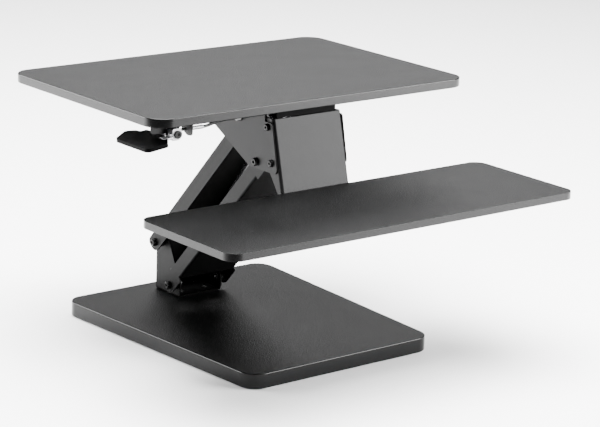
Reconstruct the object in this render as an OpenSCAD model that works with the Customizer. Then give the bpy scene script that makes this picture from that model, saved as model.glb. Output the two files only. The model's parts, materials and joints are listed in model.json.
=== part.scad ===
// Standing desk converter: a worktop and a keyboard tray on one parallelogram lift column.
// X runs across the converter, -Y is the user's side and +Z is up.
// The origin lies under the middle of the base board, on the surface it stands on.

/* [Base] */
// Width of the base board at its back edge
base_back_w = 430; // [400:1:470]
// Width of the base board at its front edge
base_front_w = 377; // [340:1:420]
// Depth of the base board
base_d = 499; // [480:1:520]
// Thickness of the base board
base_t = 25; // [18:1:30]
// Radius of the base board's corners
base_corner_r = 30; // [10:1:60]
// Height of the rubber pads under the base board
pad_h = 1.5; // [1:0.5:3]

/* [Worktop] */
// Width of the worktop
worktop_w = 640; // [600:5:900]
// Depth of the worktop
worktop_d = 419; // [400:1:460]
// Thickness of the worktop
worktop_t = 15; // [15:1:18]
// Radius of the worktop's corners
worktop_corner_r = 33; // [10:1:60]

/* [Keyboard tray] */
// Width of the keyboard tray
tray_w = 704; // [600:2:860]
// Depth of the keyboard tray
tray_d = 238; // [220:1:280]
// Thickness of the keyboard tray
tray_t = 12; // [12:1:15]
// Radius of the keyboard tray's corners
tray_corner_r = 22; // [8:1:50]

/* [Lift] */
// Distance between the two pivots of each arm
arm_l = 375; // [365:1:385]
// Angle of the arms above level as drawn
arm_angle = 47.5; // [46:0.5:49]
// Half the width over the outside of the arms
arm_half_w = 59; // [57:0.5:60]
// Sheet thickness of the arms
arm_sheet = 2.5; // [2:0.5:2.5]
// Sheet thickness of the brackets and side plates
plate_t = 3; // [2.5:0.5:3]
// Outside radius of the folds
fold_r = 4; // [4:0.5:5]
// Radius of the main pivot bolts
pivot_r = 5; // [4:0.5:5]

/* [Gas spring] */
// Radius of the gas spring's cylinder
gas_r = 13; // [11:0.5:13]
// Radius of the gas spring's rod
rod_r = 5; // [4:0.5:6]

/* [Release lever] */
// Thickness of the release paddle
paddle_t = 6; // [5:0.5:7]
// Slope of the release paddle, down towards its outer edge
paddle_slope = 7; // [4:0.5:9]

/* [Hidden] */
$fn = 48;
running = 0.05;
body_gap = 0.3;

// Places in the side view are [y, z]
base_top = pad_h + base_t;
front_low = [158, base_top + 23.5];
arm_offset = [45, 66];
rear_low = front_low + arm_offset;
arm_dir = [-cos(arm_angle), sin(arm_angle)];
front_high = front_low + arm_l * arm_dir;
rear_high = front_high + arm_offset;

// The head: everything that rises stays level and is placed from the front arm's upper pivot
head_top = front_high[1] + 95;
worktop_front = front_high[0] - 68;
tray_back = front_high[0] - 69.6;
tray_under = front_high[1] - 50.4;

// Middles of the outer pads; the rows follow the base board's taper
pad_x = 170;
pad_y = 205;

// Across the mechanism, as distances from the middle plane
arm_in = arm_half_w - arm_sheet;
low_out = 45;
low_in = low_out - plate_t;
back_wall_h = 90;
high_in = 70;
high_out = high_in + plate_t;

// Front arm section, measured from the pivot line towards the front and down
front_arm_back = -16.5;
front_arm_ear = 14.5;
front_web_out = 9.5;
web_cutback = 34;
web_tail = 16;
web_tail_half_w = 49;
rear_arm_half = 14.5;
rear_web_cutback = 25;

// Gas spring line, from its lower pin on the bracket to its upper pin under the worktop
gas_low = front_low + [14, 20];
gas_high = front_high + [26, 66];
gas_l = norm(gas_high - gas_low);
gas_angle = atan2(gas_high[1] - gas_low[1], gas_low[0] - gas_high[0]);
gas_pin_r = 4;
gas_eye_play = 4.6;
gas_cyl_start = 16;
gas_cyl_end = 328;
gas_wall = 2;
gas_head_l = 30;
guide_l = 18;
piston_l = 14;
rod_inside = 96;

// Fasteners
screw_r = 2.4;
screw_head_r = 4.8;
screw_head_h = 2.4;
screw_l = 12;
hanger_bolt_r = 3;
bush_r = 7;
spacer_r = 9.5;
nut_h = 6;

// Tray hanger, in the side view from the front arm's upper pivot
hanger_t = 2.5;
hanger_fold_r = 5;
hanger_top = front_high + [-37.6, 76.4];
hanger_foot = front_high + [-69.5, -50.4];
hanger_bolts_yz = [front_high + [-27.2, 62.5], front_high + [-39.7, 5.5]];
hanger_shelf_d = 122;

// Screw places under the worktop, as [x, y]
flange_w = 26;
flange_screws = [for (side = [-1, 1], dy = [0, 80, 168]) [side * (high_in + 15), front_high[0] + dy]];
channel_screws = [for (side = [-1, 1]) [side * 42, front_high[0] - 16]];
gas_mount_screws = [for (side = [-1, 1], dy = [12, 40]) [side * 28, front_high[0] + dy]];

// Release lever, pivoting on a screw that runs front to back
lever_x = -263.5;
lever_z = head_top - 17.5;
lever_front = front_high[0] - 46;
barrel_r = 9.5;
barrel_l = 14;
lever_pin_r = 4;
ear_y = lever_front + barrel_l + body_gap;
ear_gap = 20;
lever_plate_left = lever_x - 40;
lever_plate_back = ear_y + 37;
lever_bracket_screws = [[lever_x - 25, ear_y + 11], [lever_x - 25, ear_y + 30], [lever_x + 18, ear_y + 30]];
paddle_hinge = [lever_x - 8, lever_z - 9];
tongue_l = 16;
tongue_t = 3.4;
lug_x = lever_x + 27.5;

// Release cable, from the lever's lug under the worktop to the gas spring's upper pin
cable_r = 2.5;
cable_z = head_top - 9.5;
cable_y = front_high[0] - 27;
lug_hole_z = head_top - 16;
adjuster_end = lug_x + 34;
cable_route = [
    [adjuster_end, cable_y, lug_hole_z],
    [adjuster_end + 4, cable_y, lug_hole_z],
    [adjuster_end + 9, cable_y, lug_hole_z + 0.6],
    [adjuster_end + 18, cable_y, lug_hole_z + 2.6],
    [adjuster_end + 28, cable_y, cable_z - 1.4],
    [adjuster_end + 38, cable_y, cable_z - 0.2],
    [-150, cable_y, cable_z],
    [-110, cable_y, cable_z],
    [-82, cable_y + 1, cable_z],
    [-66, cable_y + 1, cable_z],
    [-54, cable_y + 5, cable_z],
    [-47, cable_y + 16, cable_z - 1],
    [-44, cable_y + 30, cable_z - 6],
    [-41, cable_y + 43, cable_z - 13],
    [-35, gas_high[0] - 2, gas_high[1] + 2],
    [-29.5, gas_high[0], gas_high[1]],
    [-24, gas_high[0], gas_high[1]]
];
clip_xs = [-133];
clip_t = 1.6;
clip_screw_r = 1.6;

// ---------- shared shapes ----------

function unit(v) = v / norm(v);

// Arc that rounds the corner at b, between its neighbours a and c
function corner_arc(a, b, c, r, n) =
    let (
        u = unit(a - b),
        v = unit(c - b),
        half = acos(u * v) / 2,
        centre = b + unit(u + v) * r / sin(half),
        start = b + u * r / tan(half) - centre,
        end = b + v * r / tan(half) - centre,
        first = atan2(start[1], start[0]),
        sweep = (atan2(end[1], end[0]) - first + 540) % 360 - 180
    )
    [for (i = [0:n]) centre + r * [cos(first + sweep * i / n), sin(first + sweep * i / n)]];

// Outline through the points, each corner rounded to its own radius
function rounded(points, radii, n = 8) =
    let (last = len(points) - 1)
    [for (i = [0:last])
        each radii[i] == 0
            ? [points[i]]
            : corner_arc(points[(i + last) % (last + 1)], points[i],
                points[(i + 1) % (last + 1)], radii[i], n)];

// Rectangle with round corners, centred
module rounded_rect(w, d, r) {
    square([w - 2 * r, d], center = true);
    square([w, d - 2 * r], center = true);
    for (x = [-1, 1], y = [-1, 1])
        translate([x * (w / 2 - r), y * (d / 2 - r)])
            circle(r, $fn = 96);
}

// Sheet standing across X, from its [y, z] outline
module side_sheet(outline, x0, t) {
    translate([x0, 0, 0])
        rotate([90, 0, 90])
            linear_extrude(t)
                polygon(outline);
}

// Round bar along X at a [y, z] place
module bar(place, r, x0, x1) {
    translate([x0, place[0], place[1]])
        rotate([0, 90, 0])
            cylinder(h = x1 - x0, r = r);
}

// Folded U section, centred on X: its web's outer face is at y = 0 and its legs rise to y = depth
module folded_section(half_w, depth, sheet, bend) {
    outer = rounded([[-half_w, depth], [-half_w, 0], [half_w, 0], [half_w, depth]], [0, bend, bend, 0]);
    w = half_w - sheet;
    inner = rounded([[w, depth], [w, sheet], [-w, sheet], [-w, depth]], [0, bend - sheet, bend - sheet, 0]);
    polygon(concat(outer, inner));
}

// The same solid on both sides of the middle plane
module both_sides() {
    children();
    mirror([1, 0, 0])
        children();
}

// Along an arm: Y runs from its lower to its upper pivot, Z to the front and down
module on_arm(low_pivot) {
    translate([0, low_pivot[0], low_pivot[1]])
        rotate([180 - arm_angle, 0, 0])
            children();
}

// Along the gas spring: Z runs from its lower pin to its upper pin
module on_gas_line() {
    translate([0, gas_low[0], gas_low[1]])
        rotate([90 - gas_angle, 0, 0])
            children();
}

// Domed socket screw along +X, its head's underside at x = 0
module socket_bolt(r, head_r, head_h, shank) {
    rotate([0, 90, 0])
        difference() {
            union() {
                translate([0, 0, -shank])
                    cylinder(h = shank, r = r);
                rotate_extrude()
                    polygon([[0, 0], [head_r, 0], [head_r, head_h * 0.45], [head_r * 0.9, head_h * 0.75],
                        [head_r * 0.68, head_h], [0, head_h]]);
            }
            translate([0, 0, head_h * 0.45])
                cylinder(h = head_h, r = head_r * 0.42, $fn = 6);
        }
}

// Locking hexagon nut along X, with its face at x = 0 and its body towards -X
module lock_nut(r, across, h) {
    rotate([0, -90, 0])
        difference() {
            union() {
                cylinder(h = h * 0.72, r = across / sqrt(3), $fn = 6);
                cylinder(h = h, r = across * 0.42);
            }
            translate([0, 0, -1])
                cylinder(h = h + 2, r = r + running);
        }
}

// Pan head screw driven upwards, its head's upper face at z = 0
module pan_screw(l) {
    difference() {
        union() {
            cylinder(h = l, r = screw_r);
            rotate_extrude()
                polygon([[0, 0], [screw_head_r, 0], [screw_head_r, -screw_head_h * 0.4],
                    [screw_head_r * 0.7, -screw_head_h], [0, -screw_head_h]]);
        }
        for (turn = [0, 90])
            rotate([0, 0, turn])
                translate([0, 0, -screw_head_h])
                    cube([screw_head_r, 1, 2.6], center = true);
    }
}

// ---------- base ----------

module base_board() {
    corners = [[-base_front_w / 2, -base_d / 2], [base_front_w / 2, -base_d / 2],
        [base_back_w / 2, base_d / 2], [-base_back_w / 2, base_d / 2]];
    color("#2b2c2e")
        difference() {
            translate([0, 0, pad_h])
                linear_extrude(base_t)
                    polygon(rounded(corners, [for (c = corners) base_corner_r], 16));
            bracket_screw_places()
                translate([0, 0, -15])
                    cylinder(h = 16, r = screw_r + running);
        }
}

module base_pads() {
    color("#161616")
        for (x = [-1, 0, 1], y = [-1, 0, 1])
            translate([x * (pad_x + 8 * y), y * pad_y, 0])
                rotate_extrude()
                    polygon([[0, 0], [11, 0], [12, 0.5], [12, pad_h], [0, pad_h]]);
}

// Top of the bracket's foot at each of its four screws
module bracket_screw_places() {
    for (x = [-26, 26], y = [front_low[0] + 12, front_low[0] + 44])
        translate([x, y, base_top])
            children();
}

module lower_bracket() {
    front = front_low[0] - 9;
    back = rear_low[0] + 14;
    outline = [[front, base_top], [back, base_top], [back, rear_low[1] + 4],
        [rear_low[0] + 2, rear_low[1] + 17], [rear_low[0] - 17, rear_low[1] + 17],
        [front_low[0] - 13, front_low[1] + 2], [front_low[0] - 13, front_low[1] - 12]];
    radii = [0, 0, 12, 9, 8, 14, 8];
    color("#3c3e41")
        difference() {
            union() {
                intersection() {
                    side_sheet(rounded(outline, radii), -low_out, 2 * low_out);
                    translate([0, back + 1, base_top])
                        rotate([90, 0, 0])
                            linear_extrude(120)
                                folded_section(low_out, 110, plate_t, fold_r);
                }
                translate([-low_in - 1, back - plate_t, base_top + plate_t - 0.5])
                    cube([2 * low_in + 2, plate_t, back_wall_h]);
            }
            both_sides() {
                bar(front_low, pivot_r + running, low_in - 1, low_out + 1);
                bar(rear_low, pivot_r + running, low_in - 1, low_out + 1);
                bar(gas_low, gas_pin_r + running, low_in - 1, low_out + 1);
            }
            bracket_screw_places()
                translate([0, 0, -1])
                    cylinder(h = plate_t + 2, r = screw_r + 0.3);
        }
}

module bracket_screws() {
    color("#141414")
        bracket_screw_places()
            translate([0, 0, plate_t])
                rotate([180, 0, 0])
                    pan_screw(screw_l + plate_t);
}

module lower_pivot_bolts() {
    color("#101010")
        both_sides()
            for (place = [front_low, rear_low])
                translate([arm_half_w + 0.4, place[0], place[1]])
                    socket_bolt(pivot_r, 7, 6, arm_half_w + 0.4 - low_in + nut_h + 1);
}

module lower_pivot_nuts() {
    color("#141414")
        both_sides()
            for (place = [front_low, rear_low])
                translate([low_in, place[0], place[1]])
                    lock_nut(pivot_r, 14, nut_h);
}

module gas_lower_pin() {
    color("#141414")
        bar(gas_low, gas_pin_r, -low_out, low_out);
}

// Spring rings that keep the gas spring's lower pin in the bracket
module lower_pin_rings() {
    color("#141414")
        both_sides()
            difference() {
                bar(gas_low, gas_pin_r + 2.6, low_in - body_gap - 1.5, low_in - body_gap);
                bar(gas_low, gas_pin_r + running, low_in - 4, low_in + 1);
            }
}

// ---------- arms ----------

module rear_arm() {
    first = rear_web_cutback;
    last = arm_l - rear_web_cutback;
    fold = fold_r - rear_arm_half;
    outline = [[-rear_arm_half, -rear_arm_half], [first, -rear_arm_half], [first, fold], [last, fold],
        [last, -rear_arm_half], [arm_l + rear_arm_half, -rear_arm_half],
        [arm_l + rear_arm_half, rear_arm_half], [-rear_arm_half, rear_arm_half]];
    color("#3c3e41")
        on_arm(rear_low)
            difference() {
                union() {
                    both_sides()
                        side_sheet(rounded(outline, [9, 0, 0, 0, 0, 9, 14, 14]), arm_in, arm_sheet);
                    translate([0, last, -rear_arm_half])
                        rotate([90, 0, 0])
                            linear_extrude(last - first)
                                folded_section(arm_half_w, 2 * rear_arm_half, arm_sheet, fold_r);
                }
                arm_bush_holes();
            }
}

module front_arm() {
    first = web_cutback;
    last = arm_l - web_cutback;
    fold = front_web_out - fold_r;
    outline = [[-front_arm_ear, front_arm_back], [arm_l + front_arm_ear, front_arm_back],
        [arm_l + front_arm_ear, front_arm_ear], [last, front_arm_ear], [last, fold], [first, fold],
        [first, front_arm_ear], [-front_arm_ear, front_arm_ear]];
    color("#3c3e41")
        on_arm(front_low)
            difference() {
                union() {
                    both_sides()
                        side_sheet(rounded(outline, [14, 14, 14, 2, 0, 0, 2, 14]), arm_in, arm_sheet);
                    translate([0, first, front_web_out])
                        rotate([-90, 0, 0])
                            linear_extrude(last - first)
                                folded_section(arm_half_w, front_web_out - front_arm_back, arm_sheet, fold_r);
                    translate([-web_tail_half_w, last - 1, front_web_out - arm_sheet])
                        cube([2 * web_tail_half_w, web_tail + 1, arm_sheet]);
                }
                arm_bush_holes();
            }
}

module arm_bush_holes() {
    both_sides()
        for (s = [0, arm_l])
            bar([s, 0], bush_r + running, arm_in - 1, arm_half_w + 1);
}

// Flanged bushes of one arm: the lower pair faces the bracket, the upper pair the side plates
module arm_bushes(low_pivot) {
    color("#1d1d1e")
        on_arm(low_pivot)
            both_sides()
                difference() {
                    union() {
                        bar([0, 0], bush_r, low_out + body_gap, arm_half_w + 0.1);
                        bar([0, 0], spacer_r, low_out + body_gap, arm_in);
                        bar([arm_l, 0], bush_r, arm_in - 0.1, high_in - body_gap);
                        bar([arm_l, 0], spacer_r, arm_half_w, high_in - body_gap);
                    }
                    for (s = [0, arm_l])
                        bar([s, 0], pivot_r + running, low_out - 1, high_in + 1);
                }
}

module rear_arm_bushes() {
    arm_bushes(rear_low);
}

module front_arm_bushes() {
    arm_bushes(front_low);
}

// ---------- gas spring ----------

module gas_cylinder() {
    inner = gas_r - gas_wall;
    eye_r = gas_pin_r + gas_eye_play + 3.6;
    color("#202124")
        on_gas_line()
            difference() {
                union() {
                    rotate_extrude()
                        polygon([[0, gas_cyl_start], [gas_r - 1.5, gas_cyl_start], [gas_r, gas_cyl_start + 2],
                            [gas_r, gas_cyl_end - 2], [gas_r - 1.5, gas_cyl_end], [inner, gas_cyl_end],
                            [inner, gas_cyl_start + 6], [0, gas_cyl_start + 6]]);
                    bar([0, 0], eye_r, -7, 7);
                    translate([-7, -8, 0])
                        cube([14, 16, gas_cyl_start + 1]);
                }
                bar([0, 0], gas_pin_r + gas_eye_play, -8, 8);
            }
}

module gas_rod_guide() {
    color("#b59a52")
        on_gas_line()
            translate([0, 0, gas_cyl_end - guide_l])
                difference() {
                    cylinder(h = guide_l - 0.5, r = gas_r - gas_wall);
                    translate([0, 0, -1])
                        cylinder(h = guide_l + 1, r = rod_r + running);
                }
}

module gas_rod() {
    color("#d8dadd")
        on_gas_line()
            translate([0, 0, gas_cyl_end - rod_inside])
                cylinder(h = gas_l - gas_head_l + 6 - gas_cyl_end + rod_inside, r = rod_r);
}

module gas_piston() {
    color("#77797c")
        on_gas_line()
            translate([0, 0, gas_cyl_end - rod_inside])
                difference() {
                    cylinder(h = piston_l, r = gas_r - gas_wall - running);
                    translate([0, 0, -1])
                        cylinder(h = piston_l + 2, r = rod_r + running);
                }
}

module gas_release_head() {
    color("#8d8f92")
        on_gas_line()
            difference() {
                union() {
                    translate([-10, -9, gas_l - gas_head_l])
                        cube([20, 18, gas_head_l - 4]);
                    bar([0, gas_l], 10, -10, 10);
                }
                bar([0, gas_l], gas_pin_r + running, -11, 11);
                translate([0, 0, gas_l - gas_head_l - 1])
                    cylinder(h = 7, r = rod_r + running);
            }
}

// ---------- head ----------

module upper_plate(side) {
    at = front_high;
    outline = [at + [-56, -11], at + [17.5, -11], at + [190.5, 78.5], at + [190.5, 95], at + [-19.5, 95],
        at + [-19.5, 70.5], at + [-38.5, 70.5]];
    color("#3c3e41")
        mirror([side < 0 ? 1 : 0, 0, 0])
            difference() {
                union() {
                    side_sheet(rounded(outline, [8, 8, 8, 0, 0, 1.5, 5]), high_in, plate_t);
                    translate([high_in, at[0] - 19.5, head_top - plate_t])
                        cube([flange_w, 210, plate_t]);
                }
                for (place = [front_high, rear_high])
                    bar(place, pivot_r + running, high_in - 1, high_out + 1);
                for (place = hanger_bolts_yz)
                    bar(place, hanger_bolt_r + running, high_in - 1, high_out + 1);
                for (place = flange_screws)
                    translate([abs(place[0]), place[1], head_top - plate_t - 1])
                        cylinder(h = plate_t + 2, r = screw_r + 0.3);
            }
}

module upper_plate_left() {
    upper_plate(-1);
}

module upper_plate_right() {
    upper_plate(1);
}

module upper_pivot_bolts() {
    color("#101010")
        both_sides()
            for (place = [front_high, rear_high])
                translate([high_out, place[0], place[1]])
                    socket_bolt(pivot_r, 7, 6, high_out - arm_in + body_gap + nut_h + 1);
}

module upper_pivot_nuts() {
    color("#141414")
        both_sides()
            translate([arm_in - body_gap, rear_high[0], rear_high[1]])
                lock_nut(pivot_r, 14, nut_h);
}

// Tube between the front arm's sides, threaded at its ends for the pivot bolts
module upper_pivot_tube() {
    color("#1b1b1c")
        difference() {
            bar(front_high, 9, body_gap - arm_in, arm_in - body_gap);
            bar(front_high, pivot_r + running, -arm_half_w, arm_half_w);
        }
}

module cross_channel() {
    front = front_high[0] - 34.6;
    sheet = 2.5;
    color("#1b1b1c")
        difference() {
            translate([-60, front, head_top - 18])
                difference() {
                    cube([120, 26, 18]);
                    translate([-1, sheet, sheet])
                        cube([122, 26, 18 - 2 * sheet]);
                }
            for (place = channel_screws)
                translate([place[0], place[1], head_top - 20]) {
                    cylinder(h = 21, r = screw_r + 0.3);
                    cylinder(h = 10, r = screw_head_r + 1);
                }
        }
}

// Clevis that carries the gas spring's upper pin
module gas_mount() {
    ear_in = 10 + 1;
    at = front_high;
    ear = [gas_high + [-11, -11], gas_high + [11, -11], at + [44, 94], at + [4, 94]];
    color("#3c3e41")
        difference() {
            union() {
                both_sides()
                    side_sheet(rounded(ear, [10, 10, 0, 0]), ear_in, plate_t);
                translate([-38, at[0] + 4, head_top - plate_t])
                    cube([76, 44, plate_t]);
            }
            bar(gas_high, gas_pin_r + running, -20, 20);
            for (place = gas_mount_screws)
                translate([place[0], place[1], head_top - 5])
                    cylinder(h = 6, r = screw_r + 0.3);
        }
}

module gas_upper_pin() {
    color("#8d8f92")
        union() {
            bar(gas_high, gas_pin_r, -16.5, 16.5);
            bar(gas_high, gas_pin_r + 2, 14, 16);
        }
}

module tray_hanger() {
    top = hanger_top;
    foot = hanger_foot;
    shelf_z = tray_under - hanger_t;
    lean = atan2(top[0] - foot[0], top[1] - foot[1]);
    flange = [foot, foot + [8, 0], front_high + [3.3, 35.5], [front_high[0] + 3.3, top[1]], top];
    inner = high_in - hanger_t;
    color("#3c3e41")
        difference() {
            union() {
                intersection() {
                    side_sheet(rounded(flange, [0, 0, 8, 3, 0]), -high_in, 2 * high_in);
                    translate([0, foot[0], foot[1]])
                        rotate([-lean, 0, 0])
                            translate([0, 0, -20])
                                linear_extrude(200)
                                    folded_section(high_in, 100, hanger_t, hanger_fold_r);
                }
                translate([-high_in, foot[0] - hanger_shelf_d, shelf_z])
                    cube([2 * high_in, hanger_shelf_d + 8, hanger_t]);
                both_sides()
                    translate([inner, foot[0] - hanger_shelf_d + 6, shelf_z - 8])
                        cube([hanger_t, hanger_shelf_d + 2, 9]);
            }
            both_sides()
                for (place = hanger_bolts_yz)
                    bar(place, hanger_bolt_r + running, inner - 1, high_in + 1);
            tray_screw_places()
                translate([0, 0, -hanger_t - 1])
                    cylinder(h = hanger_t + 2, r = screw_r + 0.3);
        }
}

module hanger_bolts() {
    color("#101010")
        both_sides()
            for (place = hanger_bolts_yz)
                translate([high_out, place[0], place[1]])
                    socket_bolt(hanger_bolt_r, 6, 4.5, plate_t + hanger_t + 6);
}

module hanger_nuts() {
    color("#141414")
        both_sides()
            for (place = hanger_bolts_yz)
                translate([high_in - hanger_t, place[0], place[1]])
                    lock_nut(hanger_bolt_r, 10, 5);
}

module worktop() {
    color("#2b2c2e")
        difference() {
            translate([0, worktop_front + worktop_d / 2, head_top])
                linear_extrude(worktop_t)
                    rounded_rect(worktop_w, worktop_d, worktop_corner_r);
            for (place = concat(flange_screws, channel_screws, gas_mount_screws, lever_bracket_screws))
                translate([place[0], place[1], head_top - 1])
                    cylinder(h = screw_l - 1, r = screw_r + running);
            for (x = clip_xs)
                translate([x, cable_y + 12, head_top - 1])
                    cylinder(h = 9, r = clip_screw_r + running);
        }
}

module worktop_screws() {
    color("#141414")
        union() {
            for (place = concat(flange_screws, gas_mount_screws))
                translate([place[0], place[1], head_top - plate_t])
                    pan_screw(screw_l);
            for (place = concat(channel_screws, lever_bracket_screws))
                translate([place[0], place[1], head_top - 2.5])
                    pan_screw(screw_l);
        }
}

// Underside of the tray at each of its screws
module tray_screw_places() {
    for (x = [-48, 48], y = [18, 60, 102])
        translate([x, tray_back - y, tray_under])
            children();
}

module keyboard_tray() {
    color("#2b2c2e")
        difference() {
            translate([0, tray_back - tray_d / 2, tray_under])
                linear_extrude(tray_t)
                    rounded_rect(tray_w, tray_d, tray_corner_r);
            tray_screw_places()
                translate([0, 0, -1])
                    cylinder(h = 9, r = screw_r + running);
        }
}

module tray_screws() {
    color("#141414")
        tray_screw_places()
            translate([0, 0, -hanger_t])
                pan_screw(10);
}

// ---------- release lever ----------

module lever_bracket() {
    sheet = 2.5;
    top = head_top - sheet;
    step = lever_x - 11;
    // Outline of an ear, from its left end over the paddle to its slope on the right
    function ear(left) = [[left, top + 1], [left, lever_z + 0.4 + (step - left) * 0.055], [step, lever_z + 0.4],
        [step, lever_z - 9], [lever_x + 11, lever_z - 9], [lever_x + 16, top + 1]];
    lug_front = cable_y - 18;
    lug = [[lug_front, head_top], [lug_front, cable_z - 14], [cable_y - 6, cable_z - 15],
        [cable_y + 8, cable_z - 8], [cable_y + 12, top - 2], [cable_y + 12, head_top]];
    color("#4a4c4f")
        difference() {
            union() {
                translate([lever_plate_left, lug_front, top])
                    cube([lug_x + sheet - lever_plate_left, lever_plate_back - lug_front, sheet]);
                for (place = [[ear_y, lever_plate_left], [ear_y + ear_gap, lever_x - 26]])
                    translate([0, place[0] + sheet, 0])
                        rotate([90, 0, 0])
                            linear_extrude(sheet)
                                polygon(rounded(ear(place[1]), [0, 4, 1, 8, 8, 0]));
                side_sheet(rounded(lug, [0, 5, 5, 6, 2, 0]), lug_x, sheet);
            }
            translate([lever_x, ear_y - 1, lever_z])
                rotate([-90, 0, 0])
                    cylinder(h = ear_gap + 6, r = lever_pin_r + running);
            bar([cable_y, lug_hole_z], cable_r + 0.2, lug_x - 1, lug_x + 4);
            for (place = lever_bracket_screws)
                translate([place[0], place[1], top - 1])
                    cylinder(h = sheet + 2, r = screw_r + 0.3);
        }
}

// Shoulder screw that the lever turns on
module lever_pivot_screw() {
    color("#101010")
        translate([lever_x, lever_front, lever_z])
            rotate([90, 0, 0])
                difference() {
                    union() {
                        translate([0, 0, -barrel_l - ear_gap - 5])
                            cylinder(h = barrel_l + ear_gap + 5.3, r = lever_pin_r);
                        translate([0, 0, body_gap])
                            cylinder(h = 2.5, r = 6.5);
                    }
                    translate([0, 0, 1])
                        cylinder(h = 4, r = 2.4, $fn = 6);
                }
}

// Torsion spring that turns the lever back
module lever_spring() {
    turns = 6;
    per_turn = 12;
    sides = 8;
    wire_r = 0.8;
    coil_r = lever_pin_r + 1.6;
    rings = turns * per_turn;
    length = ear_gap - 6.5;
    points = [for (i = [0:rings], k = [0:sides - 1])
        let (turn = 360 * i / per_turn, a = 360 * k / sides, r = coil_r + wire_r * cos(a))
        [r * cos(turn), r * sin(turn), i / rings * length + wire_r * sin(a)]];
    walls = [for (i = [0:rings - 1], k = [0:sides - 1])
        let (a = i * sides + k, b = i * sides + (k + 1) % sides)
        [a, b, b + sides, a + sides]];
    ends = [[for (k = [sides - 1:-1:0]) k], [for (k = [0:sides - 1]) rings * sides + k]];
    color("#b9bbbe")
        translate([lever_x, ear_y + ear_gap - 1.8, lever_z])
            rotate([90, 0, 0])
                polyhedron(points, concat(walls, ends));
}

// Cast arm of the lever: a barrel on the pivot and a tongue let into the top of the paddle
module lever_arm() {
    r = barrel_r;
    barrel = [[-r, -r], [r, -r], [r, r], [-r, r]];
    color("#c4c6c8")
        difference() {
            union() {
                translate([lever_x, lever_front + barrel_l, lever_z])
                    rotate([90, 0, 0])
                        linear_extrude(barrel_l)
                            polygon(rounded(barrel, [2, r - 0.1, r - 0.1, 3], 12));
                translate([paddle_hinge[0], lever_front, paddle_hinge[1]])
                    rotate([0, -paddle_slope, 0])
                        translate([-tongue_l, 0, paddle_t - tongue_t + 0.3])
                            cube([tongue_l + 1, barrel_l, tongue_t]);
            }
            translate([lever_x, lever_front - 1, lever_z])
                rotate([-90, 0, 0])
                    cylinder(h = barrel_l + 2, r = lever_pin_r + running);
        }
}

// Moulded paddle, drawn flat from its hinge side and then sloped
module lever_paddle() {
    inner = -4;
    outer = -63;
    front = lever_front - 21;
    waist = front + 86;
    outline = [[inner, lever_front + 8], [inner - 10, front + 15], [inner - 20, front],
        [outer, front], [outer, waist], [outer + 32, waist + 21], [outer + 46, waist + 11],
        [outer + 47, waist], [inner, waist]];
    tongue_bed = paddle_t - tongue_t + 0.3 - running;
    color("#121212")
        translate([paddle_hinge[0], 0, paddle_hinge[1]])
            rotate([0, -paddle_slope, 0])
                difference() {
                    linear_extrude(paddle_t)
                        polygon(rounded(outline, [3, 6, 7, 8, 10, 7, 5, 5, 3], 6));
                    translate([-tongue_l - running, lever_front - running, tongue_bed])
                        cube([tongue_l, barrel_l + 2 * running, paddle_t]);
                }
}

// ---------- release cable ----------

module release_cable() {
    sides = 8;
    last = len(cable_route) - 1;
    // Direction of the cable at each point of its route
    function heading(i) = unit(cable_route[min(i + 1, last)] - cable_route[max(i - 1, 0)]);
    rings = [for (i = [0:last])
        let (h = heading(i), side = unit(cross(h, [0, 0, 1])), up = cross(side, h))
        [for (k = [0:sides - 1])
            cable_route[i] + cable_r * (cos(360 * k / sides) * side + sin(360 * k / sides) * up)]];
    walls = [for (i = [0:last - 1], k = [0:sides - 1])
        let (a = i * sides + k, b = i * sides + (k + 1) % sides)
        [a, b, b + sides, a + sides]];
    ends = [[for (k = [sides - 1:-1:0]) k], [for (k = [0:sides - 1]) last * sides + k]];
    color("#0d0d0d")
        polyhedron([for (ring = rings) each ring], concat(walls, ends));
}

// Threaded adjuster that holds the cable's sheath in the lever bracket's lug
module cable_adjuster() {
    color("#c4c6c8")
        difference() {
            union() {
                bar([cable_y, lug_hole_z], cable_r, lug_x - 8, adjuster_end - 12);
                bar([cable_y, lug_hole_z], 4.2, lug_x + 2.5, lug_x + 8.5);
                bar([cable_y, lug_hole_z], 3.2, lug_x + 8, adjuster_end);
            }
            bar([cable_y, lug_hole_z], 0.8, lug_x - 9, adjuster_end + 1);
        }
}

// Ferrule that joins the cable to the end of the gas spring's upper pin
module cable_end() {
    color("#c4c6c8")
        bar(gas_high, 3.6, -24, -16.5);
}

module cable_clips() {
    color("#b9b7b0")
        for (x = clip_xs)
            difference() {
                union() {
                    bar([cable_y, cable_z], 4.2, x - 4, x + 4);
                    translate([x - 4, cable_y - 1, head_top - 8])
                        cube([8, 3, 8]);
                    translate([x - 4, cable_y - 1, head_top - clip_t])
                        cube([8, 18, clip_t]);
                }
                bar([cable_y, cable_z], cable_r + 0.1, x - 5, x + 5);
                translate([x, cable_y + 12, head_top - 3])
                    cylinder(h = 4, r = 1.9);
            }
}

module clip_screws() {
    color("#141414")
        for (x = clip_xs)
            translate([x, cable_y + 12, head_top - clip_t]) {
                cylinder(h = 8, r = clip_screw_r);
                translate([0, 0, -1.8])
                    cylinder(h = 1.8, r1 = 2.2, r2 = 3.2);
            }
}

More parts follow.
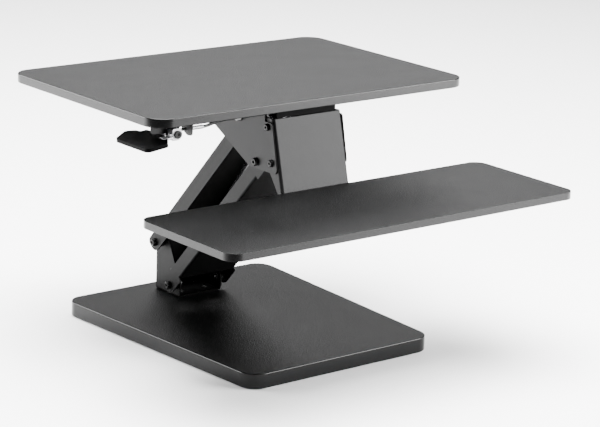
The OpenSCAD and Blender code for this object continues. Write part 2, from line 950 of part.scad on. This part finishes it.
base_board();
base_pads();
lower_bracket();
bracket_screws();
lower_pivot_bolts();
lower_pivot_nuts();
gas_lower_pin();
lower_pin_rings();
rear_arm();
rear_arm_bushes();
front_arm();
front_arm_bushes();
gas_cylinder();
gas_rod_guide();
gas_rod();
gas_piston();
gas_release_head();
upper_plate_left();
upper_plate_right();
upper_pivot_bolts();
upper_pivot_nuts();
upper_pivot_tube();
cross_channel();
gas_mount();
gas_upper_pin();
tray_hanger();
hanger_bolts();
hanger_nuts();
worktop();
worktop_screws();
keyboard_tray();
tray_screws();
lever_bracket();
lever_pivot_screw();
lever_spring();
release_cable();
cable_adjuster();
cable_end();
cable_clips();
clip_screws();
lever_arm();
lever_paddle();
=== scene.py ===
"""Standing desk converter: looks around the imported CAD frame. Metres, +Z up, -Y is the user's side."""

import json
import math

import bmesh
import bpy
from mathutils import Matrix, Vector


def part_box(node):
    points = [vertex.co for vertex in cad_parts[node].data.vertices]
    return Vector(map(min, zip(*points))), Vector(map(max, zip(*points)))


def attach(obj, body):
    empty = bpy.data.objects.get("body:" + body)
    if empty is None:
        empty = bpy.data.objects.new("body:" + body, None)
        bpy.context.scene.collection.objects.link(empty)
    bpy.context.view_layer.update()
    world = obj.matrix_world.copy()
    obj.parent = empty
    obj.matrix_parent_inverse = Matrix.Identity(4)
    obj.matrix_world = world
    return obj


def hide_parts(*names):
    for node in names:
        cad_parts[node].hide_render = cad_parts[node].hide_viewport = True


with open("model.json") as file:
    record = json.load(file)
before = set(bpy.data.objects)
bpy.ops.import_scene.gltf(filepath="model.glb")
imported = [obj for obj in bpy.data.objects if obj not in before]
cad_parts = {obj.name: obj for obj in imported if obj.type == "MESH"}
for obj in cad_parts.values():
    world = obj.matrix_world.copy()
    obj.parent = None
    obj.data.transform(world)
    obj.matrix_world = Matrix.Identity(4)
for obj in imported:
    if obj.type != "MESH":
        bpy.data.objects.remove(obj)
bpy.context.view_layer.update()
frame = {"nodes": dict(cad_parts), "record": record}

# ---------- camera ----------

CAMERA_PLACE = (-2.3206, -2.9892, 1.2422)
CAMERA_YAW = 38.99      # degrees from +Y towards +X
CAMERA_PITCH = 15.27    # degrees down
CAMERA_ROLL = 1.98      # degrees
CAMERA_LENS = 140.17    # mm
CAMERA_SENSOR = 36.0    # mm wide
CAMERA_REACH = 60.0     # the furthest that the camera sees


def make_camera():
    yaw, pitch, roll = (math.radians(a) for a in (CAMERA_YAW, CAMERA_PITCH, CAMERA_ROLL))
    ahead = Vector((math.sin(yaw) * math.cos(pitch), math.cos(yaw) * math.cos(pitch), -math.sin(pitch)))
    level = Vector((math.cos(yaw), -math.sin(yaw), 0.0))
    above = level.cross(ahead)
    right = math.cos(roll) * level + math.sin(roll) * above
    up = math.cos(roll) * above - math.sin(roll) * level
    data = bpy.data.cameras.new("camera")
    data.lens = CAMERA_LENS
    data.sensor_width = CAMERA_SENSOR
    data.clip_end = CAMERA_REACH
    camera = bpy.data.objects.new("camera", data)
    camera.matrix_world = Matrix((
        (right.x, up.x, -ahead.x, CAMERA_PLACE[0]),
        (right.y, up.y, -ahead.y, CAMERA_PLACE[1]),
        (right.z, up.z, -ahead.z, CAMERA_PLACE[2]),
        (0.0, 0.0, 0.0, 1.0),
    ))
    bpy.context.scene.collection.objects.link(camera)
    bpy.context.scene.camera = camera


make_camera()


# ---------- materials ----------

class Nodes:
    """Short way to add and join shader nodes of one material."""

    def __init__(self, name):
        self.material = bpy.data.materials.new(name)
        self.material.use_nodes = True
        self.tree = self.material.node_tree
        self.shader = self.tree.nodes["Principled BSDF"]
        self.place = self.add("ShaderNodeTexCoord").outputs["Object"]

    def add(self, kind):
        return self.tree.nodes.new(kind)

    def link(self, out, into):
        self.tree.links.new(out, into)

    def noise(self, scale, detail=3.0, rough=0.5, place=None):
        node = self.add("ShaderNodeTexNoise")
        node.inputs["Scale"].default_value = scale
        node.inputs["Detail"].default_value = detail
        node.inputs["Roughness"].default_value = rough
        self.link(place or self.place, node.inputs["Vector"])
        return node.outputs["Fac"]

    def cells(self, scale):
        node = self.add("ShaderNodeTexVoronoi")
        node.inputs["Scale"].default_value = scale
        self.link(self.place, node.inputs["Vector"])
        return node.outputs["Distance"]

    def remap(self, value, low, high, to_low, to_high):
        """Stretches low..high to to_low..to_high and cuts off what is outside."""
        node = self.add("ShaderNodeMapRange")
        for socket, number in zip(("From Min", "From Max", "To Min", "To Max"), (low, high, to_low, to_high)):
            node.inputs[socket].default_value = number
        self.link(value, node.inputs["Value"])
        return node.outputs["Result"]

    def mix(self, factor, a, b):
        """Colour a where the factor is 0 and colour b where it is 1."""
        node = self.add("ShaderNodeMix")
        node.data_type = "RGBA"
        node.inputs[6].default_value = (*a, 1.0)  # the node's colour A
        node.inputs[7].default_value = (*b, 1.0)  # the node's colour B
        self.link(factor, node.inputs["Factor"])
        return node.outputs[2]  # its colour result

    def math(self, operation, a, b):
        node = self.add("ShaderNodeMath")
        node.operation = operation
        for socket, value in zip(node.inputs, (a, b)):
            if isinstance(value, float):
                socket.default_value = value
            else:
                self.link(value, socket)
        return node.outputs["Value"]

    def finish(self, color, roughness, height=None, depth=0.0, metallic=0.0, specular=0.5):
        """Joins the colour, the roughness and a height, whose bumps are depth metres deep, to the shader."""
        self.link(color, self.shader.inputs["Base Color"])
        self.link(roughness, self.shader.inputs["Roughness"])
        self.shader.inputs["Metallic"].default_value = metallic
        self.shader.inputs["Specular IOR Level"].default_value = specular
        if height is not None:
            bump = self.add("ShaderNodeBump")
            bump.inputs["Strength"].default_value = 1.0
            bump.inputs["Distance"].default_value = depth
            self.link(height, bump.inputs["Height"])
            self.link(bump.outputs["Normal"], self.shader.inputs["Normal"])
        return self.material


def grey(level, blue=0.0):
    return (level, level, level + blue)


def laminate(name, dark, light, specular):
    """Pebbled melamine: small rounded grains, the hollows between them darker as painted shade."""
    n = Nodes(name)
    grains = n.cells(560.0)
    clumps = n.noise(260.0, 2.0)
    height = n.math("ADD", n.math("MULTIPLY", grains, -0.8), n.math("MULTIPLY", clumps, 0.5))
    # Tone that differs at random, with the hollows between the grains darkened as painted shade
    tone_and_hollow_shade = n.math("ADD", n.math("MULTIPLY", grains, -0.55), n.math("MULTIPLY", n.noise(300.0, 3.0), 1.0))
    color = n.mix(n.remap(tone_and_hollow_shade, 0.0, 0.45, 0.0, 1.0), dark, light)
    rough = n.remap(n.noise(9.0, 4.0), 0.3, 0.7, 0.30, 0.35)
    return n.finish(color, rough, height, 0.0006, specular=specular)


def powder_coat(name, dark, light, rough, specular=0.5, depth=0.00012):
    """Fine orange-peel powder coat on steel."""
    n = Nodes(name)
    peel = n.noise(900.0, 2.0)
    waves = n.noise(180.0, 1.0)
    height = n.math("ADD", n.math("MULTIPLY", peel, 0.5), waves)
    color = n.mix(n.remap(n.noise(40.0, 5.0), 0.3, 0.7, 0.0, 1.0), dark, light)
    return n.finish(color, n.remap(peel, 0.3, 0.7, *rough), height, depth, specular=specular)


def metal(name, dark, light, rough, grain=260.0, stretch=(1.0, 1.0, 1.0)):
    """Bare or plated metal with fine working marks."""
    n = Nodes(name)
    mapping = n.add("ShaderNodeMapping")
    mapping.inputs["Scale"].default_value = stretch
    n.link(n.place, mapping.inputs["Vector"])
    marks = n.noise(grain, 3.0, 0.6, mapping.outputs["Vector"])
    color = n.mix(n.remap(marks, 0.3, 0.7, 0.0, 1.0), dark, light)
    return n.finish(color, n.remap(marks, 0.3, 0.7, *rough), marks, 0.00004, metallic=1.0)


def plastic(name, dark, light, rough, grain=700.0, depth=0.00006, specular=0.5):
    """Moulded plastic or rubber with a fine spark-eroded grain."""
    n = Nodes(name)
    skin = n.noise(grain, 2.0)
    color = n.mix(n.remap(n.noise(60.0, 3.0), 0.3, 0.7, 0.0, 1.0), dark, light)
    return n.finish(color, n.remap(skin, 0.3, 0.7, *rough), skin, depth, specular=specular)


MATERIALS = {
    "laminate": laminate("laminate", grey(0.0002), (0.0026, 0.0027, 0.0028), 0.17),
    "edge_band": powder_coat("edge_band", grey(0.0018, 0.0001), grey(0.0026, 0.0001), (0.18, 0.24),
                             0.22, 0.00002),
    "steel": powder_coat("steel", grey(0.0053, 0.0002), grey(0.0067, 0.0002), (0.36, 0.44), 0.09, 0.00006),
    # Darker copy of the steel coat: painted shade for the arms and the lower bracket
    "steel_painted_shade": powder_coat("steel_painted_shade", grey(0.0026, 0.0001), grey(0.0036, 0.0001), (0.36, 0.44),
                             0.065, 0.00006),
    # Near-black coat: painted shade on the folded parts' faces that do not face outward
    "steel_inside_painted_shade": powder_coat("steel_inside_painted_shade", grey(0.0008), grey(0.0014), (0.6, 0.7), 0.03),
    "channel_steel": powder_coat("channel_steel", grey(0.0008), grey(0.0014), (0.55, 0.65), 0.03),
    "bolt": powder_coat("bolt", grey(0.0030, 0.0002), grey(0.0050, 0.0002), (0.30, 0.40), 0.16),
    "screw": powder_coat("screw", grey(0.006), grey(0.010), (0.34, 0.44), 0.2),
    "zinc": metal("zinc", grey(0.42, 0.01), grey(0.56, 0.01), (0.30, 0.42)),
    "chrome_rod": metal("chrome_rod", grey(0.70, 0.02), grey(0.80, 0.02), (0.06, 0.12),
                        300.0, (1.0, 8.0, 8.0)),
    "cylinder_paint": powder_coat("cylinder_paint", grey(0.012, 0.001), grey(0.018, 0.001), (0.20, 0.28)),
    "brass": metal("brass", (0.50, 0.38, 0.16), (0.62, 0.48, 0.22), (0.25, 0.35)),
    "bush_plastic": plastic("bush_plastic", grey(0.004), grey(0.007), (0.45, 0.55), specular=0.1),
    "spring_steel": metal("spring_steel", grey(0.05, 0.002), grey(0.09, 0.002), (0.40, 0.52)),
    # Lighter copy of the steel coat: painted light for the lever bracket, which lies in the worktop's shade
    "bracket_steel": powder_coat("bracket_steel", grey(0.0095, 0.0003), grey(0.0125, 0.0003), (0.38, 0.46),
                                 0.14, 0.00006),
    "casting": metal("casting", grey(0.34, 0.01), grey(0.46, 0.01), (0.50, 0.62), 420.0),
    "paddle_plastic": plastic("paddle_plastic", grey(0.0005), grey(0.0010), (0.42, 0.52),
                              900.0, specular=0.02),
    "cable_plastic": plastic("cable_plastic", grey(0.008), grey(0.012), (0.34, 0.42)),
    "clip_nylon": plastic("clip_nylon", grey(0.20, -0.005), grey(0.28, -0.005), (0.45, 0.55)),
    "rubber": plastic("rubber", grey(0.014), grey(0.022), (0.62, 0.75), 500.0, 0.0001),
}


# ---------- pieces refined from the CAD nodes ----------

SLOTS = {row["node"]: row["material_slot"] for row in frame["record"]["subparts"]}
BODY_OF = {node: body for body, nodes in frame["record"]["behaviour"]["bodies"].items() for node in nodes}

BOARDS = ("base_board", "worktop", "keyboard_tray")
FOLDED = ("lower_bracket", "rear_arm", "front_arm", "upper_plate_left", "upper_plate_right")
SWEPT = {"release_cable": 0.0025, "lever_spring": 0.0008}  # radius

WELD_REACH = 2e-6       # corners this close are one
FLAT_TURN = 0.6         # degrees, the most that faces turn and still count as one flat face

# Width of the rounding on a piece's edges and the steps across it
PLAIN_EDGE = (0.0004, 2)
EDGES = {
    "lever_paddle": (0.0026, 5),
    "lower_bracket": (0.0007, 2),
    "base_pads": (0.0003, 2),
    "gas_cylinder": (0.0006, 2),
    "lever_arm": (0.0009, 3),
    "gas_release_head": (0.0008, 3),
}
SHARP_EDGE = 28.0       # degrees, the least turn that is rounded
SHADED_SHARP = 32.0     # degrees, the least turn that is shaded as an edge

BOARD_EDGE = (0.0014, 3)
RIM_TURN = 60.0         # degrees, the least turn at a board's rim
BOARD_RIM = 0.028       # screw holes are further than this from a board's sides

FOOT_LIP = 0.003        # sheet thickness of the lower bracket, whose foot's front edge takes the lighter coat as a painted highlight


def welded(node):
    """The node's mesh as a clean bmesh: joined corners, flat faces in one piece."""
    mesh = bmesh.new()
    mesh.from_mesh(frame["nodes"][node].data)
    bmesh.ops.remove_doubles(mesh, verts=mesh.verts, dist=WELD_REACH)
    bmesh.ops.dissolve_limit(mesh, angle_limit=math.radians(FLAT_TURN), verts=mesh.verts,
                              edges=mesh.edges)
    bmesh.ops.recalc_face_normals(mesh, faces=mesh.faces)
    return mesh


def turns(edge, limit):
    """Whether the surface turns by more than the limit, in degrees, across the edge."""
    return len(edge.link_faces) == 2 and edge.calc_face_angle(0.0) > math.radians(limit)


def rounded(mesh, edges, width, segments):
    bmesh.ops.bevel(mesh, geom=edges, offset=width, offset_type="OFFSET", segments=segments, profile=0.5,
                    affect="EDGES", clamp_overlap=True)


def put(mesh, node, materials):
    """Turns the bmesh into the piece that stands for the node."""
    data = bpy.data.meshes.new(node + "_piece")
    mesh.to_mesh(data)
    mesh.free()
    for material in materials:
        data.materials.append(MATERIALS[material])
    data.shade_smooth()
    data.set_sharp_from_angle(angle=math.radians(SHADED_SHARP))
    piece = bpy.data.objects.new(node + "_piece", data)
    bpy.context.scene.collection.objects.link(piece)
    normals = piece.modifiers.new("even normals", "WEIGHTED_NORMAL")
    normals.keep_sharp = True
    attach(piece, BODY_OF[node])
    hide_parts(node)
    return piece


def board(node):
    """A laminated board: pebbled faces, a smoother edge band and rounded arrises."""
    mesh = welded(node)
    low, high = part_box(node)
    rim = [edge for edge in mesh.edges if turns(edge, RIM_TURN) and is_rim(edge, low, high)]
    rounded(mesh, rim, *BOARD_EDGE)
    for face in mesh.faces:
        face.material_index = 0 if abs(face.normal.z) > 0.9 else 1
    put(mesh, node, ["laminate", "edge_band"])


def is_rim(edge, low, high):
    """Whether the edge runs level along the board's rim, and not down a corner or round a screw hole."""
    start, end = (vert.co for vert in edge.verts)
    middle = (start + end) / 2
    near = min(middle.x - low.x, high.x - middle.x, middle.y - low.y, high.y - middle.y)
    return abs(start.z - end.z) < 1e-5 and near < BOARD_RIM


def refined(node):
    """A hard piece: the CAD solid with its edges rounded."""
    mesh = welded(node)
    sharp = [edge for edge in mesh.edges if turns(edge, SHARP_EDGE)]
    rounded(mesh, sharp, *EDGES.get(node, PLAIN_EDGE))
    materials = painted(mesh, node) if node in FOLDED else [SLOTS[node]]
    put(mesh, node, materials)


def painted(mesh, node):
    """Gives a folded part its coat: the outer faces the steel coat, darker on the arms and lower bracket as
    painted shade; the other faces a near-black painted shade; and, on the bracket, the foot's front edge the
    lighter coat as a painted highlight.
    """
    foot_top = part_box("lower_bracket")[0].z + FOOT_LIP
    for face in mesh.faces:
        middle = face.calc_center_median()
        outward = face.normal.x * math.copysign(1.0, middle.x)
        # The foot's front edge takes the lighter upper-plate coat as a painted highlight
        is_lip_highlight = node == "lower_bracket" and face.normal.y < -0.5 and middle.z < foot_top
        # Faces that do not face outward take the near-black painted shade
        face.material_index = 2 if is_lip_highlight else (0 if outward > 0.5 else 1)
    # The arms and the lower bracket take the darker copy of the coat as painted shade
    return ["steel" if node.startswith("upper") else "steel_painted_shade", "steel_inside_painted_shade", "steel"]


def swept(node, radius):
    """A thin round piece: the CAD node's eight-sided rings drawn out into smooth curves."""
    mesh = welded(node)
    crease = mesh.edges.layers.float.new("crease_edge")
    for edge in mesh.edges:
        if any(len(face.verts) > 4 for face in edge.link_faces):
            edge[crease] = 1.0
    mesh.normal_update()
    # Smoothing draws an eight-sided ring in, so it is first swollen by as much
    swell = radius * (3.0 / (2.0 + math.cos(math.pi / 4)) - 1.0)
    for vert in mesh.verts:
        vert.co += vert.normal * swell
    piece = put(mesh, node, [SLOTS[node]])
    smooth = piece.modifiers.new("smooth", "SUBSURF")
    smooth.levels = smooth.render_levels = 2


for cad_node in BOARDS:
    board(cad_node)
for cad_node in frame["nodes"]:
    if cad_node not in BOARDS and cad_node not in SWEPT:
        refined(cad_node)
for cad_node, cad_radius in SWEPT.items():
    swept(cad_node, cad_radius)


# ---------- floor and light ----------

WORLD_LIGHT = 0.12
FLOOR_HALF = 14.0
FLOOR_PALE = grey(0.91)
# Painted shade on the floor's camera side, standing in for an unlit studio behind the camera
FLOOR_PAINTED_SHADE = grey(0.06)
FADE_START = 0.5        # how far towards the camera the floor starts to darken
FADE_END = 1.3          # and where it is darkest


def make_floor():
    """Pale floor that fades to dark on the camera's side, out of the picture: painted shade that stands in
    for an unlit studio behind the camera.
    """
    data = bpy.data.meshes.new("floor")
    corners = [(x * FLOOR_HALF, y * FLOOR_HALF, 0) for x, y in ((-1, -1), (1, -1), (1, 1), (-1, 1))]
    data.from_pydata(corners, [], [(0, 1, 2, 3)])
    n = Nodes("floor")
    yaw = math.radians(CAMERA_YAW)
    split = n.add("ShaderNodeSeparateXYZ")
    n.link(n.place, split.inputs["Vector"])
    towards = n.math("ADD", n.math("MULTIPLY", split.outputs["X"], -math.sin(yaw)),
                     n.math("MULTIPLY", split.outputs["Y"], -math.cos(yaw)))
    color = n.mix(n.remap(towards, FADE_START, FADE_END, 0.0, 1.0), FLOOR_PALE, FLOOR_PAINTED_SHADE)
    n.finish(color, n.remap(n.noise(3.0, 2.0), 0.3, 0.7, 0.75, 0.8), specular=0.1)
    data.materials.append(n.material)
    floor = bpy.data.objects.new("floor", data)
    bpy.context.scene.collection.objects.link(floor)


def area_light(name, place, target, size, power):
    """A softbox at a place that faces a target, with its width and height in metres and power in watts."""
    data = bpy.data.lights.new(name, "AREA")
    data.shape = "RECTANGLE"
    data.size, data.size_y = size
    data.energy = power
    light = bpy.data.objects.new(name, data)
    light.location = place
    light.rotation_euler = (Vector(target) - Vector(place)).to_track_quat("-Z", "Y").to_euler()
    bpy.context.scene.collection.objects.link(light)


def make_world(strength):
    world = bpy.data.worlds.new("studio")
    world.use_nodes = True
    bpy.context.scene.world = world
    background = world.node_tree.nodes["Background"]
    background.inputs["Color"].default_value = (1.0, 1.0, 1.0, 1.0)
    background.inputs["Strength"].default_value = strength


make_floor()
make_world(WORLD_LIGHT)
area_light("left_rear_box", (-1.9, 2.1, 0.9), (-0.2, 0.1, 0.2), (1.6, 1.5), 190.0)
area_light("right_front_box", (2.0, -2.2, 0.9), (0.1, -0.3, 0.25), (1.6, 1.5), 350.0)
area_light("rear_right_box", (2.3, 2.7, 2.3), (0.0, 0.0, 0.3), (3.0, 1.8), 60.0)
area_light("top_box", (0.0, 0.0, 3.3), (0.2, 0.25, 0.0), (3.0, 3.0), 1100.0)
